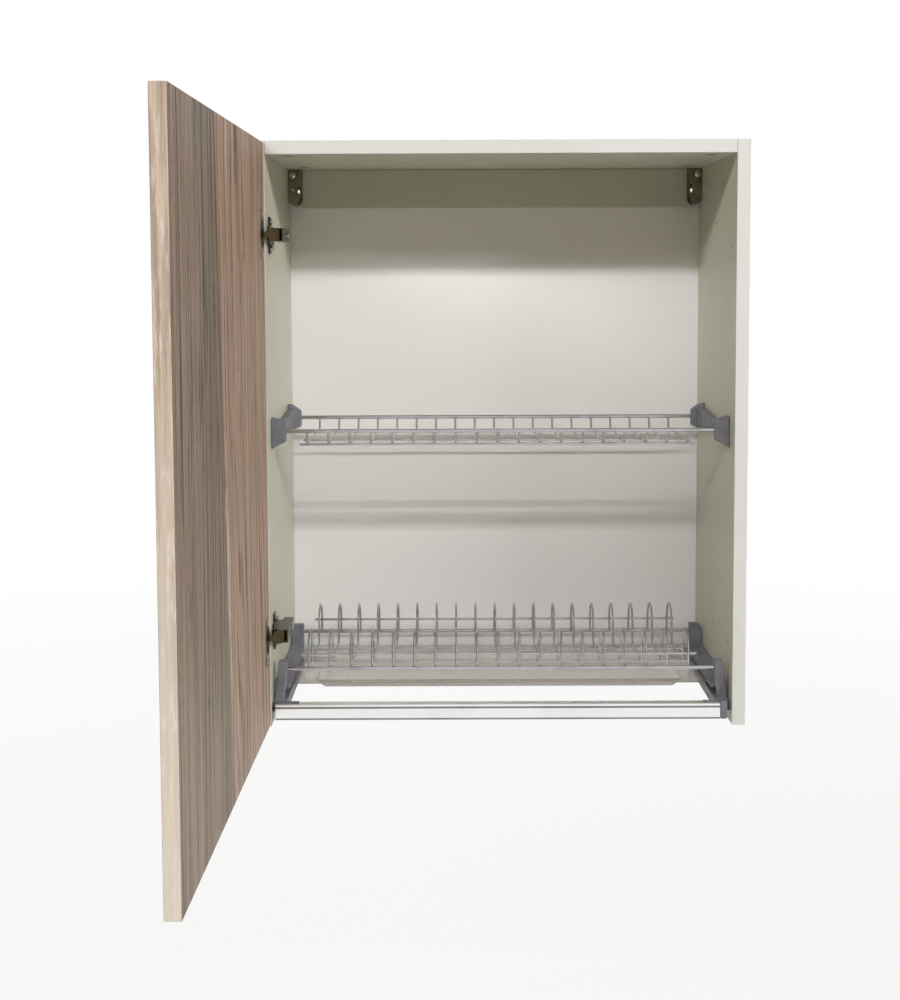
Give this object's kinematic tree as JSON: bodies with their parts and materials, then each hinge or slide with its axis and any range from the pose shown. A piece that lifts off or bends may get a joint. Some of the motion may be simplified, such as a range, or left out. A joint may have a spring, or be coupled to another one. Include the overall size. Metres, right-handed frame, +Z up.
{
  "type": "dish drying cabinet",
  "caption": "Wall cabinet with one side-hung door and an open bottom, holding a wire cup rack, a wire plate rack with arches and a sliding drip tray.",
  "frame": {"origin": "middle of the back panel's wall face", "axes": "+X to the viewer's right, +Y into the wall, +Z up"},
  "size_m": [0.6082, 0.9108, 0.716],
  "materials": {
    "cream_laminate": "satin melamine on particle board",
    "white_board": "satin lacquered fibre board",
    "weathered_pine": "matt weathered pine decor, vertical grain",
    "nickel_steel": "nickel plated",
    "zinc_steel": "zinc plated",
    "chromed_wire": "bright chrome",
    "anodised_aluminium": "satin anodised",
    "grey_plastic": "moulded, satin",
    "clear_plastic": "clear, glossy"
  },
  "bodies": {
    "cabinet": {"arm_screw_lower": "zinc_steel", "arm_screw_upper": "zinc_steel", "back_panel": "white_board", "cam_bolt_left_front": "zinc_steel", "cam_bolt_left_rear": "zinc_steel", "cam_bolt_right_front": "zinc_steel", "cam_bolt_right_rear": "zinc_steel", "cam_left_front": "zinc_steel", "cam_left_rear": "zinc_steel", "cam_right_front": "zinc_steel", "cam_right_rear": "zinc_steel", "corner_front_left": "grey_plastic", "corner_front_right": "grey_plastic", "corner_rear_left": "grey_plastic", "corner_rear_right": "grey_plastic", "front_profile": "anodised_aluminium", "hanger_adjuster_left": "zinc_steel", "hanger_adjuster_right": "zinc_steel", "hanger_body_left": "zinc_steel", "hanger_body_right": "zinc_steel", "hinge_arm_lower": "nickel_steel", "hinge_arm_upper": "nickel_steel", "hinge_pin_lower": "nickel_steel", "hinge_pin_upper": "nickel_steel", "hinge_plate_lower": "nickel_steel", "hinge_plate_upper": "nickel_steel", "left_side": "cream_laminate", "lower_bracket_left": "grey_plastic", "lower_bracket_right": "grey_plastic", "lower_bracket_screw_left_front": "zinc_steel", "lower_bracket_screw_left_rear": "zinc_steel", "lower_bracket_screw_right_front": "zinc_steel", "lower_bracket_screw_right_rear": "zinc_steel", "plate_screw_lower_bottom": "zinc_steel", "plate_screw_lower_top": "zinc_steel", "plate_screw_upper_bottom": "zinc_steel", "plate_screw_upper_top": "zinc_steel", "rear_profile": "anodised_aluminium", "rear_rail": "cream_laminate", "right_side": "cream_laminate", "top_panel": "cream_laminate", "upper_bracket_left": "grey_plastic", "upper_bracket_right": "grey_plastic", "upper_bracket_screw_left_front": "zinc_steel", "upper_bracket_screw_left_rear": "zinc_steel", "upper_bracket_screw_right_front": "zinc_steel", "upper_bracket_screw_right_rear": "zinc_steel"},
    "cup_rack": {"cup_rack": "chromed_wire"},
    "door": {"cup_screw_lower_bottom": "zinc_steel", "cup_screw_lower_top": "zinc_steel", "cup_screw_upper_bottom": "zinc_steel", "cup_screw_upper_top": "zinc_steel", "door_panel": "weathered_pine", "hinge_cup_lower": "nickel_steel", "hinge_cup_upper": "nickel_steel"},
    "drip_tray": {"drip_tray": "clear_plastic"},
    "hanger_hook_left": {"hanger_hook_left": "nickel_steel"},
    "hanger_hook_right": {"hanger_hook_right": "nickel_steel"},
    "plate_rack": {"plate_rack": "chromed_wire"}
  },
  "joints": [
    {"name": "door_hinge", "type": "hinge", "parent": "cabinet", "child": "door", "pos_m": [-0.29225, -0.31305, 0], "axis": [0, 0, 1], "range_deg": [-4.3, 90.7]},
    {"name": "cup_rack_lift", "type": "slide", "parent": "cabinet", "child": "cup_rack", "axis": [0, 0, 1], "range_m": [0, 0.025]},
    {"name": "plate_rack_lift", "type": "slide", "parent": "cabinet", "child": "plate_rack", "axis": [0, 0, 1], "range_m": [0, 0.02]},
    {"name": "drip_tray_slide", "type": "slide", "parent": "cabinet", "child": "drip_tray", "axis": [0, -1, 0], "range_m": [0, 0.07]},
    {"name": "hanger_hook_left_height", "type": "slide", "parent": "cabinet", "child": "hanger_hook_left", "axis": [0, 0, 1], "range_m": [-0.004, 0.004]},
    {"name": "hanger_hook_right_height", "type": "slide", "parent": "cabinet", "child": "hanger_hook_right", "axis": [0, 0, 1], "range_m": [-0.004, 0.004]}
  ]
}
